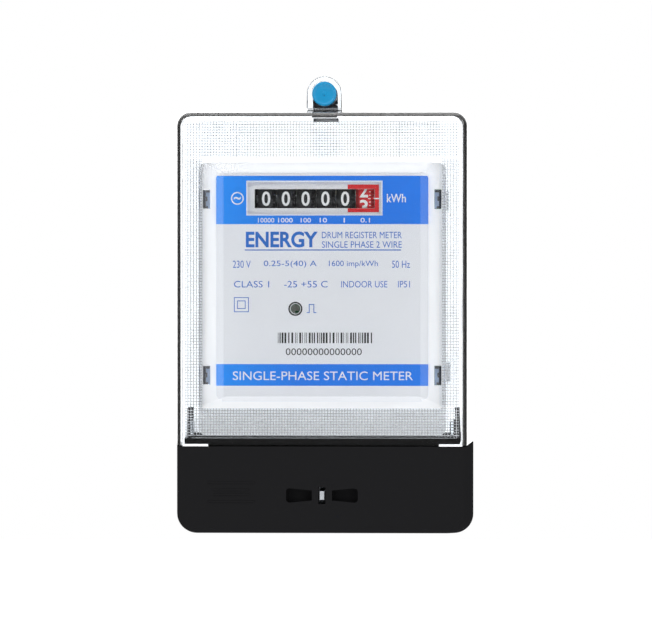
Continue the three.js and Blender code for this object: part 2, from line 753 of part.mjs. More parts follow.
function strap(left, right) {
  const half = strapWidth / 2;
  const back = barrelY - strapThickness / 2;
  const front = barrelY + strapThickness / 2;
  const low = barrelTop + 0.8;
  return block(left - half, left + half, back, front, low, strapZ)
    .add(block(right - half, right + half, back, front, low, strapZ))
    .add(block(left - half, right + half, back, front, strapZ - strapWidth, strapZ));
}

add('shunt_strip', strap(terminalX[0], terminalX[1]), copper);
add('neutral_link', strap(terminalX[2], terminalX[3]), brass);

// Leads from the straps to the connector -------------------------------------------------------------------------

function lead(points, radius = 0.7) {
  const path = new THREE.CatmullRomCurve3(points.map(([x, depth, z]) => new THREE.Vector3(x, -depth, z)));
  const section = new THREE.Shape();
  section.absarc(0, 0, radius, 0, 2 * Math.PI);
  return solid(new THREE.ExtrudeGeometry(section, {
    extrudePath: path, steps: 14, curveSegments: 4, bevelEnabled: false,
  }));
}

const leadDepth = barrelY + strapThickness / 2 + fit;
const plugDepth = onBoard + 4;
const leadEnd = -30 - fit;
const leadZ = strapZ - strapWidth / 2;
add('shunt_lead_in', lead([
  [-30, leadDepth, leadZ], [-30, leadDepth + 2.5, leadZ], [-27, leadDepth + 4, -36.5],
  [-16, leadDepth + 3, -34.3], [-5, plugDepth + 1.5, -33.8], [-1.5, plugDepth, -32.3], [-1, plugDepth, leadEnd],
]), finish(0xc23b2e, 0.6));
add('shunt_lead_out', lead([
  [-13, leadDepth, leadZ], [-13, leadDepth + 1.5, leadZ], [-10, leadDepth + 2, -39],
  [0, plugDepth + 3, -39.5], [4, plugDepth + 1, -37], [5, plugDepth, -34], [5, plugDepth, leadEnd],
]), finish(0xe8e6e0, 0.6));
add('neutral_lead', lead([
  [14, leadDepth, leadZ], [14, leadDepth + 2.2, leadZ], [13, leadDepth + 3, -35.5],
  [11.5, barrelY, -33.4], [11, plugDepth, -32], [11, plugDepth, leadEnd],
]), finish(0x2456a8, 0.6));

// Sealing tongue --------------------------------------------------------------------------------------------------

const tongueHalf = tongueHeight / 2;
const wayDepth = frontFace - 1.9;
add('sealing_tongue', block(-tongueThickness / 2, tongueThickness / 2, blockFace + fit, tongueTip,
  sealZ - tongueHalf, sealZ + tongueHalf)
  .add(block(-4, 4, blockFace + fit, blockFace + fit + 1, sealZ - 4, sealZ + 4))
  .subtract(barX(0.8, -2, 2, wayDepth, sealZ, 10)), steel);

// Terminal cover ----------------------------------------------------------------------------------------------------

function terminalCover() {
  const top = coverBottom - coverSplit;
  const middle = (caseBottom + top) / 2;
  const outline = panel(-halfWidth, halfWidth, caseBottom, top, bottomRadius, 0);
  let body = drafted(outline, middle, coverStations(coverBack, frontFace, 0, 1));
  const hollow = panel(-halfWidth + wall, halfWidth - wall, caseBottom + wall, top + 9, bottomRadius - wall, 0);
  body = body.subtract(drafted(hollow, middle, innerStations(coverBack - 1, frontFace - wall, 0, 1)));
  body = body.add(block(-padWidth / 2, padWidth / 2, frontFace - padThickness, frontFace - wall / 2,
    sealZ - padHeight / 2, sealZ + padHeight / 2));
  body = body.subtract(block(-slotWidth / 2, slotWidth / 2, frontFace - padThickness - 1, frontFace + 1,
    sealZ - slotHeight / 2, sealZ + slotHeight / 2));
  for (const side of [-1, 1]) {
    const wedge = new THREE.Shape();
    wedge.moveTo(side * wedgeStart, sealZ - wedgeLow / 2);
    wedge.lineTo(side * wedgeEnd, sealZ - wedgeTall / 2);
    wedge.lineTo(side * wedgeEnd, sealZ + wedgeTall / 2);
    wedge.lineTo(side * wedgeStart, sealZ + wedgeLow / 2);
    body = body.subtract(sheet(wedge, frontFace - wedgeDepth, frontFace + 1));
  }
  body = body.subtract(barX(wireWay, -wedgeStart - 1, wedgeStart + 1, wayDepth, sealZ, 10));
  for (const x of terminalX) {
    body = body.subtract(barZ(notchWidth / 2, x, barrelY, caseBottom - 1, blockBottom - fit, 20));
    body = body.subtract(block(x - notchWidth / 2, x + notchWidth / 2, coverBack - 1, barrelY,
      caseBottom - 1, blockBottom - fit));
  }
  return body;
}

add('terminal_cover', terminalCover(), blackPlastic);

export default meter;
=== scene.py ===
"""Single-phase wall meter: a clear two-part case around a printed plate with a drum register, over a black
terminal cover. Metres; X to the right, Y towards the wall, Z up."""
import math

import bmesh
import bpy
from mathutils import Matrix, Vector


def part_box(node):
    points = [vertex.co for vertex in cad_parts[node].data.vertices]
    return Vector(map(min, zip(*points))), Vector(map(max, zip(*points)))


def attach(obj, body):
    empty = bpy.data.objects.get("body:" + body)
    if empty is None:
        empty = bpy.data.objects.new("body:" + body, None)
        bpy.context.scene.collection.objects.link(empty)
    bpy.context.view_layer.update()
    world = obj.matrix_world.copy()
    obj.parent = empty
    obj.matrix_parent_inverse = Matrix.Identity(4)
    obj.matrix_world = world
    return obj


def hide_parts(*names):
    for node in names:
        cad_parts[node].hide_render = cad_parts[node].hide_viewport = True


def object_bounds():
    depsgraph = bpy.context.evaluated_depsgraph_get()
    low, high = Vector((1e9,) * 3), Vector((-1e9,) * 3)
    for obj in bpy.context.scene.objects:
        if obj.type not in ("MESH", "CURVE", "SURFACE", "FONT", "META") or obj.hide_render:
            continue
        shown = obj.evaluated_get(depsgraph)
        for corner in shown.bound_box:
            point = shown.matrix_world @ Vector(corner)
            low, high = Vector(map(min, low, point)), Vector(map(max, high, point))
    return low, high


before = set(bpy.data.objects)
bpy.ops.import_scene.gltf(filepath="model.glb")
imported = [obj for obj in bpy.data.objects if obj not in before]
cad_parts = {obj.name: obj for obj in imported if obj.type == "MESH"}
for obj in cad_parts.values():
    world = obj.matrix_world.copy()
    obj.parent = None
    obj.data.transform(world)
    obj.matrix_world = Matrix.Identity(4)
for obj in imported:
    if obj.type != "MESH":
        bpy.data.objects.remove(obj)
CAD_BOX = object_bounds()
MM = 0.001

# Studio ----------------------------------------------------------------------------------------------------
# White room: a bright field in front and behind, greyer to the sides, so that clear edges draw dark lines.
# The floor is a pale sheet below the meter, which hangs clear of it as it does on a wall.

CAMERA_DISTANCE = 1493 * MM
CAMERA_AZIMUTH = math.radians(1.6)
CAMERA_ELEVATION = math.radians(0.8)
CAMERA_TARGET = Vector((0.15 * MM, -7 * MM, 3.9 * MM))
CAMERA_LENS = 217.2
ROOM_LIGHT = 1.8
SIDE_LIGHT = 0.35
FRONT_CARD = 0.06
FLOOR_DROP = 120 * MM
FLOOR_HALF = 1.6


def linear(code):
    """The linear colour of an sRGB hex code."""
    parts = [int(code[i:i + 2], 16) / 255 for i in (1, 3, 5)]
    return [p / 12.92 if p <= 0.04045 else ((p + 0.055) / 1.055) ** 2.4 for p in parts] + [1]


def add_node(tree, kind, links=(), **settings):
    """A node with its settings. Each link names an input, with another node's output or a constant for it."""
    node = tree.nodes.new(kind)
    for name, value in settings.items():
        setattr(node, name, value)
    for socket, value in links:
        target = node.inputs[socket]
        if isinstance(value, bpy.types.NodeSocket):
            tree.links.new(value, target)
        else:
            target.default_value = value
    return node


camera = bpy.data.objects.new("camera", bpy.data.cameras.new("camera"))
bpy.context.scene.collection.objects.link(camera)
bpy.context.scene.camera = camera
back = Vector((math.sin(CAMERA_AZIMUTH) * math.cos(CAMERA_ELEVATION),
               -math.cos(CAMERA_AZIMUTH) * math.cos(CAMERA_ELEVATION), math.sin(CAMERA_ELEVATION)))
camera.location = CAMERA_TARGET + back * CAMERA_DISTANCE
camera.rotation_euler = (-back).to_track_quat("-Z", "Y").to_euler()
camera.data.lens = CAMERA_LENS
camera.data.clip_start = 0.05
camera.data.clip_end = 20
bpy.context.scene.view_settings.view_transform = "Standard"

world = bpy.data.worlds.new("white_room")
bpy.context.scene.world = world
world.use_nodes = True
tree = world.node_tree
tree.nodes.clear()
direction = add_node(tree, "ShaderNodeTexCoord").outputs["Generated"]
parts = add_node(tree, "ShaderNodeSeparateXYZ", [(0, direction)])
across = add_node(tree, "ShaderNodeMath", [(0, parts.outputs["X"])], operation="ABSOLUTE").outputs[0]
sides = add_node(tree, "ShaderNodeMapRange", [("Value", across), ("From Min", 0.75), ("From Max", 1.0),
                                              ("To Min", ROOM_LIGHT), ("To Max", SIDE_LIGHT)])
card = add_node(tree, "ShaderNodeMapRange", [("Value", parts.outputs["Y"]), ("From Min", -0.94),
                                             ("From Max", -0.8), ("To Min", FRONT_CARD), ("To Max", 1)])
field = add_node(tree, "ShaderNodeMath", [(0, sides.outputs[0]), (1, card.outputs[0])], operation="MULTIPLY")
seen = add_node(tree, "ShaderNodeLightPath").outputs["Is Camera Ray"]
room = add_node(tree, "ShaderNodeMix", [(0, seen), (2, field.outputs[0]), (3, 1)])
light = add_node(tree, "ShaderNodeBackground", [(0, (1, 1, 1, 1)), (1, room.outputs[0])])
add_node(tree, "ShaderNodeOutputWorld", [(0, light.outputs[0])])


def softbox(name, place, size, watts, aim=(0, 0, 0)):
    """A large square lamp that faces a point."""
    lamp = bpy.data.lights.new(name, "AREA")
    lamp.size = size
    lamp.energy = watts
    holder = bpy.data.objects.new(name, lamp)
    bpy.context.scene.collection.objects.link(holder)
    holder.location = place
    holder.rotation_euler = (Vector(aim) - Vector(place)).to_track_quat("-Z", "Y").to_euler()


softbox("key_light", (-1.2, -1.3, 1.2), 0.8, 12)
softbox("fill_light", (1.3, -1.2, 0.6), 0.8, 5)
overhead = bpy.data.objects.new("overhead_light", bpy.data.lights.new("overhead_light", "SUN"))
overhead.data.energy = 1.6
overhead.data.angle = math.radians(60)
bpy.context.scene.collection.objects.link(overhead)
bpy.context.scene.cycles.max_bounces = 32
bpy.context.scene.cycles.transmission_bounces = 32


def start_material(name):
    """A new material, its tree, its shader, and the place on the object that its patterns follow."""
    material = bpy.data.materials.new(name)
    material.use_nodes = True
    tree = material.node_tree
    place = add_node(tree, "ShaderNodeTexCoord").outputs["Object"]
    return material, tree, tree.nodes["Principled BSDF"], place


def darker(code, share):
    """The linear colour of an sRGB hex code, dimmed to a share of its light."""
    return [c * share for c in linear(code)[:3]] + [1]


def painted_floor():
    """Matt white paper: no gloss, and the faint unevenness of a rolled sheet."""
    material, tree, shader, place = start_material("matt_paper")
    tone = add_node(tree, "ShaderNodeTexNoise", [("Vector", place), ("Scale", 3.0)])
    shade = add_node(tree, "ShaderNodeMix", [(0, tone.outputs[0]), (6, linear("#fdfdfd")),
                                             (7, linear("#ffffff"))], data_type="RGBA")
    tree.links.new(shade.outputs[2], shader.inputs["Base Color"])
    shader.inputs["Roughness"].default_value = 0.9
    shader.inputs["Specular IOR Level"].default_value = 0.1
    return material


mesh = bpy.data.meshes.new("floor")
bm = bmesh.new()
bmesh.ops.create_grid(bm, x_segments=4, y_segments=4, size=FLOOR_HALF)
bmesh.ops.translate(bm, verts=bm.verts, vec=(0, 0, CAD_BOX[0].z - FLOOR_DROP))
bm.to_mesh(mesh)
bm.free()
floor = bpy.data.objects.new("floor", mesh)
floor.data.materials.append(painted_floor())
bpy.context.scene.collection.objects.link(floor)

# Base shell ------------------------------------------------------------------------------------------------
# The rear tray of the case, injection moulded in clear polycarbonate, which carries the board, the register
# and the terminal block, with the hanger's groove in its lug.

CASE_WALL = 2 * MM


def clear_polycarbonate(name, tint, edge_start, edge_end=1.0):
    """Clear polycarbonate with a faint flow mark. Its colour darkens where a surface turns away from the eye,
    a painted shade that draws dark edges: from edge_start to edge_end, 0 for face on and 1 for edge on."""
    material, tree, shader, place = start_material(name)
    shader.inputs["Roughness"].default_value = 0.02
    shader.inputs["IOR"].default_value = 1.58
    shader.inputs["Transmission Weight"].default_value = 1
    edge = add_node(tree, "ShaderNodeLayerWeight", [("Blend", 0.5)]).outputs["Facing"]
    rim = add_node(tree, "ShaderNodeMapRange", [("Value", edge), ("From Min", edge_start),
                                                 ("From Max", edge_end)])
    # Painted shade: towards edge on the colour runs to dark grey, drawing the dark edges of clear plastic.
    glass_with_painted_edge_shade = add_node(tree, "ShaderNodeMix", [(0, rim.outputs[0]), (6, linear(tint)), (7, linear("#26282c"))],
                     data_type="RGBA")
    tree.links.new(glass_with_painted_edge_shade.outputs[2], shader.inputs["Base Color"])
    flow = add_node(tree, "ShaderNodeTexNoise", [("Vector", place), ("Scale", 1 / (18 * MM)),
                                                 ("Detail", 1.0)])
    bump = add_node(tree, "ShaderNodeBump", [("Height", flow.outputs[0]), ("Strength", 0.06),
                                             ("Distance", MM)])
    tree.links.new(bump.outputs[0], shader.inputs["Normal"])
    return material


# Painted shade in each: the case darkens only near edge on, the thick lug and latch hooks from 0.1, and the
# prisms from 0.05, so that their steep sides come out dark.
clear_case = clear_polycarbonate("clear_polycarbonate", "#f6f8fa", 0.968)
clear_thick = clear_polycarbonate("clear_polycarbonate_thick_painted_shade", "#f2f5f8", 0.1, 0.9)
clear_prisms = clear_polycarbonate("clear_polycarbonate_prisms_painted_shade", "#f6f8fa", 0.05, 0.42)


def finish_node(name, material):
    """Gives a carried-over solid its material and slot."""
    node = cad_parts[name]
    node.data.materials.clear()
    node.data.materials.append(material)


def new_piece(name, bm, material, body, replaces=(), smooth=35):
    """Makes a finished mesh a piece: outward faces, its material and its body, and hides the parts that it
    replaces.
    """
    bmesh.ops.remove_doubles(bm, verts=bm.verts, dist=0.002 * MM)
    bmesh.ops.recalc_face_normals(bm, faces=bm.faces)
    mesh = bpy.data.meshes.new(name)
    bm.to_mesh(mesh)
    bm.free()
    mesh.materials.append(material)
    piece = bpy.data.objects.new(name, mesh)
    bpy.context.scene.collection.objects.link(piece)
    if smooth:
        even_shading(piece, smooth)
    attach(piece, body)
    if replaces:
        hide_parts(*replaces)
    return piece


def add_box(bm, low, high):
    """A box between two corners; returns its vertices."""
    low, high = Vector(low), Vector(high)
    place = Matrix.Translation((low + high) / 2) @ Matrix.Diagonal((*(high - low), 1))
    return bmesh.ops.create_cube(bm, size=1, matrix=place)["verts"]


def round_edges(bm, edges, radius, segments):
    bmesh.ops.bevel(bm, geom=list(edges), offset=radius, segments=segments, profile=0.5, affect="EDGES",
                    material=-1)


def even_shading(piece, smooth=35):
    """Shades bevels smoothly while the flat faces beside them stay flat."""
    piece.data.shade_smooth()
    piece.data.set_sharp_from_angle(angle=math.radians(smooth))
    normals = piece.modifiers.new("flat_faces", "WEIGHTED_NORMAL")
    normals.keep_sharp = True


def settle(piece):
    """Applies a piece's modifiers to its mesh."""
    shape = bpy.data.meshes.new_from_object(piece.evaluated_get(bpy.context.evaluated_depsgraph_get()))
    piece.modifiers.clear()
    piece.data = shape


def combine(piece, bm, operation):
    """Joins a shape to a piece, or cuts it away from the piece."""
    bmesh.ops.recalc_face_normals(bm, faces=bm.faces)
    shape = bpy.data.meshes.new("tool")
    bm.to_mesh(shape)
    bm.free()
    tool = bpy.data.objects.new("tool", shape)
    bpy.context.scene.collection.objects.link(tool)
    step = piece.modifiers.new("step", "BOOLEAN")
    step.operation = operation
    step.solver = "EXACT"
    step.object = tool
    settle(piece)
    bpy.data.objects.remove(tool)


def add_rod(bm, start, end, radius, sides=48):
    """A round bar between two points."""
    start, end = Vector(start), Vector(end)
    along = end - start
    place = Matrix.Translation((start + end) / 2) @ along.to_track_quat("Z", "Y").to_matrix().to_4x4()
    return bmesh.ops.create_cone(bm, cap_ends=True, segments=sides, radius1=radius, radius2=radius,
                                 depth=along.length, matrix=place)["verts"]


def add_turned(bm, profile, place, steps=48):
    """Turns a profile of (radius, height) points, from axis to axis, about Z, in a mesh of its own, then
    places it."""
    verts = [bm.verts.new((radius, 0, height)) for radius, height in profile]
    edges = [bm.edges.new(pair) for pair in zip(verts, verts[1:])]
    bmesh.ops.spin(bm, geom=[*verts, *edges], cent=(0, 0, 0), axis=(0, 0, 1), angle=2 * math.pi,
                   steps=steps, use_merge=True)
    bmesh.ops.transform(bm, matrix=place, verts=bm.verts)


bm = bmesh.new()
bm.from_mesh(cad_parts["base_shell"].data)
bmesh.ops.remove_doubles(bm, verts=bm.verts, dist=0.002 * MM)
bmesh.ops.dissolve_limit(bm, angle_limit=math.radians(0.6), verts=bm.verts, edges=bm.edges)
tray_low, tray_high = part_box("base_shell")
COVER_TOP = 80 * MM
TOP_RADIUS = 5 * MM
BOTTOM_RADIUS = 7.3 * MM
LUG_REACH = 7 * MM


def on_outline(v):
    """Whether a corner lies on the tray's outer wall, away from the lug."""
    x, z = abs(v.co.x), v.co.z
    if abs(x - tray_high.x) < 0.05 * MM:
        return True
    if min(abs(z - COVER_TOP), abs(z - tray_low.z)) < 0.05 * MM:
        return x > LUG_REACH
    radius, end = (TOP_RADIUS, COVER_TOP) if z > 0 else (BOTTOM_RADIUS, -tray_low.z)
    across, up = x - (tray_high.x - radius), abs(z) - (end - radius)
    return min(across, up) > -MM and math.hypot(across, up) > radius - 0.5 * MM


def on_rim(e):
    """Whether an edge runs round the outer wall at its front or its back."""
    near, far = e.verts
    level = abs(near.co.y - far.co.y) < 0.01 * MM
    at_end = min(abs(near.co.y), abs(near.co.y - tray_low.y)) < 0.01 * MM
    return level and at_end and on_outline(near) and on_outline(far) and len(e.link_faces) == 2


round_edges(bm, [e for e in bm.edges if on_rim(e) and e.calc_face_angle() > math.radians(60)], 0.6 * MM, 3)
new_piece("base_shell_tray", bm, clear_case, "case", ["base_shell"])

# Front cover -----------------------------------------------------------------------------------------------
# Clear polycarbonate hood with drafted sides and a raised smooth window over the plate, one 2 mm wall
# throughout. The face round the window is moulded inside with a fine grid of square prisms.

cover_low, cover_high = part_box("front_cover")
COVER_BOTTOM = -45 * MM
WINDOW_RAISE = 2 * MM
FACE_Y = cover_low.y + WINDOW_RAISE
COVER_BACK_Y = -14.3 * MM
DRAFT = 2.8 * MM
RIM_RADIUS = 2 * MM
WINDOW = (-43.7 * MM, 43.7 * MM, -31 * MM, 60.4 * MM)
PANE = (-35.8 * MM, 35.8 * MM, -27.6 * MM, 55.2 * MM)
PRISM_PITCH = 1.05 * MM
PRISM_GROOVE = 0.18 * MM


def hood(bm, top, bottom, top_draft, bottom_draft, radius, rounded_top):
    """Drafted box, rounded at the two corners away from the split and along its front rim; open behind
    and at the split."""
    half = tray_high.x
    verts = add_box(bm, (-half, FACE_Y, bottom), (half, COVER_BACK_Y, top))
    for v in verts:
        if v.co.y < FACE_Y + 0.1 * MM:
            v.co.x -= math.copysign(DRAFT, v.co.x)
            v.co.z += bottom_draft if v.co.z < (top + bottom) / 2 else -top_draft
    corner_z = top if rounded_top else bottom

    def at_corner(v):
        return abs(v.co.z - corner_z) <= DRAFT * 1.01

    corners = [e for e in bm.edges if abs(e.verts[0].co.y - e.verts[1].co.y) > 10 * MM
               and all(at_corner(v) for v in e.verts)]
    round_edges(bm, corners, radius, 10)
    split_z = bottom if rounded_top else top

    def at_front(v):
        return v.co.y < FACE_Y + 0.1 * MM

    rim = [e for e in bm.edges if all(at_front(v) for v in e.verts)
           and not all(abs(v.co.z - split_z) < 0.1 * MM for v in e.verts)]
    round_edges(bm, rim, RIM_RADIUS, 5)
    open_faces = [f for f in bm.faces if all(abs(v.co.y - COVER_BACK_Y) < 0.1 * MM for v in f.verts)
                  or all(abs(v.co.z - split_z) < 0.1 * MM for v in f.verts)]
    bmesh.ops.delete(bm, geom=open_faces, context="FACES")


def thicken(piece):
    """Gives an open skin the case's wall, inwards."""
    wall = piece.modifiers.new("wall", "SOLIDIFY")
    wall.thickness = CASE_WALL
    wall.offset = -1
    wall.use_even_offset = True
    settle(piece)


def split_faces(bm, level, normal, chosen):
    """Cuts the chosen faces along the plane through level on the axis of normal."""
    faces = [f for f in bm.faces if chosen(f)]
    edges = {e for f in faces for e in f.edges}
    verts = {v for f in faces for v in f.verts}
    bmesh.ops.bisect_plane(bm, geom=[*faces, *edges, *verts], dist=1e-7, plane_co=Vector(normal) * level,
                           plane_no=normal)


def on_face(f):
    return all(abs(v.co.y - FACE_Y) < 0.05 * MM for v in f.verts)


bm = bmesh.new()
hood(bm, COVER_TOP, COVER_BOTTOM, DRAFT, 0, TOP_RADIUS, True)
for level in WINDOW[:2]:
    split_faces(bm, level, (1, 0, 0), on_face)
for level in WINDOW[2:]:
    split_faces(bm, level, (0, 0, 1), on_face)
middle = Vector(((WINDOW[0] + WINDOW[1]) / 2, FACE_Y, (WINDOW[2] + WINDOW[3]) / 2))
window_face = [f for f in bm.faces if on_face(f) and (f.calc_center_median() - middle).length < 1 * MM]
raised = bmesh.ops.extrude_face_region(bm, geom=window_face)["geom"]
bmesh.ops.delete(bm, geom=window_face, context="FACES_ONLY")
raised_verts = [g for g in raised if isinstance(g, bmesh.types.BMVert)]
for v in raised_verts:
    v.co.y = cover_low.y
    v.co.x = PANE[0] if v.co.x < 0 else PANE[1]
    v.co.z = PANE[2] if v.co.z < middle.z else PANE[3]
slope_verts = {w for v in raised_verts for e in v.link_edges for w in e.verts}
round_edges(bm, [e for e in bm.edges if slope_verts.issuperset(e.verts)], 0.7 * MM, 3)
front_cover = new_piece("front_cover_shell", bm, clear_case, "case", ["front_cover"],
                        smooth=0)
thicken(front_cover)
even_shading(front_cover)


def prism_panel(bm, x0, x1, z0, z1, y, depth):
    """A field of square prisms between two limits, each a pillow with steep sides, closed behind."""
    columns = round((x1 - x0) / PRISM_PITCH)
    rows = round((z1 - z0) / PRISM_PITCH)
    place = Matrix.Translation(((x0 + x1) / 2, y, (z0 + z1) / 2)) @ Matrix.Rotation(math.pi / 2, 4, "X")
    place = place @ Matrix.Diagonal(((x1 - x0) / 2, (z1 - z0) / 2, 1, 1))
    made = bmesh.ops.create_grid(bm, x_segments=columns, y_segments=rows, size=1, matrix=place)
    faces = list({f for v in made["verts"] for f in v.link_faces})
    rim = [e for e in {e for f in faces for e in f.edges} if e.is_boundary]
    skirt = bmesh.ops.extrude_edge_only(bm, edges=rim)["geom"]
    skirt_verts = [g for g in skirt if isinstance(g, bmesh.types.BMVert)]
    bmesh.ops.translate(bm, verts=skirt_verts, vec=(0, -0.15 * MM, 0))
    bmesh.ops.contextual_create(bm, geom=[g for g in skirt if isinstance(g, bmesh.types.BMEdge)])
    bmesh.ops.inset_individual(bm, faces=faces, thickness=PRISM_GROOVE, depth=0)
    tops = {v for f in faces for v in f.verts}
    bmesh.ops.translate(bm, verts=list(tops), vec=(0, depth, 0))


bm = bmesh.new()
PATTERN = (-50.4 * MM, 50.4 * MM, -42.4 * MM, 74 * MM)
panel_y = FACE_Y + CASE_WALL + 0.2 * MM
prism_panel(bm, PATTERN[0], PATTERN[1], WINDOW[3] + 0.3 * MM, PATTERN[3], panel_y, 0.3 * MM)
prism_panel(bm, PATTERN[0], PATTERN[1], PATTERN[2], WINDOW[2] - 0.3 * MM, panel_y, 0.1 * MM)
prism_panel(bm, PATTERN[0], WINDOW[0] - 0.3 * MM, WINDOW[2], WINDOW[3], panel_y, 0.1 * MM)
prism_panel(bm, WINDOW[1] + 0.3 * MM, PATTERN[1], WINDOW[2], WINDOW[3], panel_y, 0.1 * MM)
new_piece("cover_prism_grid", bm, clear_prisms, "case", smooth=0)

HOOK_ARM = (46.9, 48.5, 55.5)
HOOK_BARB = (48.3, 49.7, 33.5)
bm = bmesh.new()
for side in (-1, 1):
    for inner, outer, depth in (HOOK_ARM, HOOK_BARB):
        left, right = sorted((side * inner * MM, side * outer * MM))
        add_box(bm, (left, -depth * MM, -41 * MM), (right, -29.5 * MM, -36 * MM))
round_edges(bm, bm.edges[:], 0.3 * MM, 2)
new_piece("cover_latch_hooks", bm, clear_thick, "case")

LUG_RADIUS = 6.6 * MM
LUG_BACK, LUG_FRONT = COVER_BACK_Y, COVER_BACK_Y - 10 * MM
LUG_Z = cover_high.z - LUG_RADIUS
CAP_POCKET = 4.95 * MM
HEAD_POCKET = 3.7 * MM
SHANK_HOLE = 2 * MM

bm = bmesh.new()
lug_outline = [(-LUG_RADIUS, COVER_TOP + 0.05 * MM), (LUG_RADIUS, COVER_TOP + 0.05 * MM)]
lug_outline += [(LUG_RADIUS * math.cos(math.radians(a)), LUG_Z + LUG_RADIUS * math.sin(math.radians(a)))
                for a in range(0, 181, 6)]
face = bm.faces.new([bm.verts.new((x, LUG_BACK, z)) for x, z in lug_outline])
grown = bmesh.ops.extrude_face_region(bm, geom=[face])["geom"]
bmesh.ops.translate(bm, verts=[g for g in grown if isinstance(g, bmesh.types.BMVert)],
                    vec=(0, LUG_FRONT - LUG_BACK, 0))
front_rim = [e for e in bm.edges if all(abs(v.co.y - LUG_FRONT) < 0.01 * MM for v in e.verts)
             and any(v.co.z > COVER_TOP + MM for v in e.verts)]
round_edges(bm, front_rim, 0.5 * MM, 3)
cover_lug = new_piece("cover_lug", bm, clear_thick, "case", smooth=0)
for radius, depth in ((CAP_POCKET, LUG_FRONT + 2.3 * MM), (HEAD_POCKET, LUG_FRONT + 5.2 * MM),
                      (SHANK_HOLE, LUG_BACK + MM)):
    bm = bmesh.new()
    add_rod(bm, (0, LUG_FRONT - MM, LUG_Z), (0, depth, LUG_Z), radius)
    combine(cover_lug, bm, "DIFFERENCE")
even_shading(cover_lug)

# Nameplate -------------------------------------------------------------------------------------------------
# Printed polycarbonate sheet: a pale grey field between two blue bands, screen printed, with plain
# lettering that any meter of this kind carries.

plate_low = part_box("nameplate")[0]
PLATE_Y = plate_low.y
BAND_TOP = (36.3 * MM, 54.1 * MM)
BAND_LOW = (-23.2 * MM, -15.2 * MM)
INK = 0.02 * MM


def printed_sheet():
    """Screen-printed plate: satin ink film over a pale ground, with painted light that makes the blue bands a
    little lighter towards the left edge.
    """
    material, tree, shader, place = start_material("screen_printed_polycarbonate")
    axes = add_node(tree, "ShaderNodeSeparateXYZ", [(0, place)])
    height, side = axes.outputs["Z"], axes.outputs["X"]
    masks = []
    for low, high in (BAND_TOP, BAND_LOW):
        above = add_node(tree, "ShaderNodeMath", [(0, height), (1, low)], operation="GREATER_THAN")
        below = add_node(tree, "ShaderNodeMath", [(0, height), (1, high)], operation="LESS_THAN")
        inside = add_node(tree, "ShaderNodeMath", [(0, above.outputs[0]), (1, below.outputs[0])],
                          operation="MULTIPLY")
        masks.append(inside.outputs[0])
    band = add_node(tree, "ShaderNodeMath", [(0, masks[0]), (1, masks[1])], operation="MAXIMUM").outputs[0]
    # Painted light: the blue runs lighter over the left 30 mm of the plate.
    left_painted_light = add_node(tree, "ShaderNodeMapRange", [("Value", side), ("From Min", plate_low.x),
                                                  ("From Max", plate_low.x + 30 * MM)]).outputs[0]
    blue = add_node(tree, "ShaderNodeMix", [(0, left_painted_light), (6, linear("#0094ff")), (7, linear("#007cf0"))],
                    data_type="RGBA").outputs[2]
    paint = add_node(tree, "ShaderNodeMix", [(0, band), (6, linear("#f3f3f5")), (7, blue)],
                     data_type="RGBA").outputs[2]
    tree.links.new(paint, shader.inputs["Base Color"])
    grain = add_node(tree, "ShaderNodeTexNoise", [("Vector", place), ("Scale", 1 / (0.6 * MM))])
    gloss = add_node(tree, "ShaderNodeMapRange", [("Value", grain.outputs[0]), ("To Min", 0.38),
                                                  ("To Max", 0.5)])
    tree.links.new(gloss.outputs[0], shader.inputs["Roughness"])
    return material


finish_node("nameplate", printed_sheet())


def ink(name, code, roughness=0.45):
    """A film of screen ink: flat colour with the slight tooth of the mesh it went through."""
    material, tree, shader, place = start_material(name)
    tooth = add_node(tree, "ShaderNodeTexNoise", [("Vector", place), ("Scale", 1 / (0.4 * MM))])
    tone = add_node(tree, "ShaderNodeMix", [(0, tooth.outputs[0]), (6, linear(code)),
                                            (7, darker(code, 0.92))], data_type="RGBA")
    tree.links.new(tone.outputs[2], shader.inputs["Base Color"])
    shader.inputs["Roughness"].default_value = roughness
    return material


def add_words(bm, words, x0, x1, z0, z1, y=PLATE_Y - INK / 2, weight=0.0):
    """Lettering fitted to a rectangle on the plate, as a thin film of ink."""
    curve = bpy.data.curves.new("words", "FONT")
    curve.body = words
    curve.offset = weight
    curve.extrude = INK / 2
    curve.resolution_u = 4
    holder = bpy.data.objects.new("words", curve)
    bpy.context.scene.collection.objects.link(holder)
    flat = bpy.data.meshes.new_from_object(holder.evaluated_get(bpy.context.evaluated_depsgraph_get()))
    bpy.data.objects.remove(holder)
    low = [min(v.co[i] for v in flat.vertices) for i in (0, 1)]
    high = [max(v.co[i] for v in flat.vertices) for i in (0, 1)]
    scale = Matrix.Diagonal(((x1 - x0) / (high[0] - low[0]), (z1 - z0) / (high[1] - low[1]), 1, 1))
    upright = Matrix.Translation((x0, y, z0)) @ Matrix.Rotation(math.pi / 2, 4, "X")
    flat.transform(upright @ scale @ Matrix.Translation((-low[0], -low[1], 0)))
    bm.from_mesh(flat)
    bpy.data.meshes.remove(flat)


def add_bar(bm, x0, x1, z0, z1, y=PLATE_Y):
    add_box(bm, (x0, y - INK, z0), (x1, y - INK * 0.05, z1))


def add_frame(bm, x0, x1, z0, z1, line, y=PLATE_Y):
    """A printed outline."""
    add_bar(bm, x0, x1, z0, z0 + line, y)
    add_bar(bm, x0, x1, z1 - line, z1, y)
    add_bar(bm, x0, x0 + line, z0 + line, z1 - line, y)
    add_bar(bm, x1 - line, x1, z0 + line, z1 - line, y)


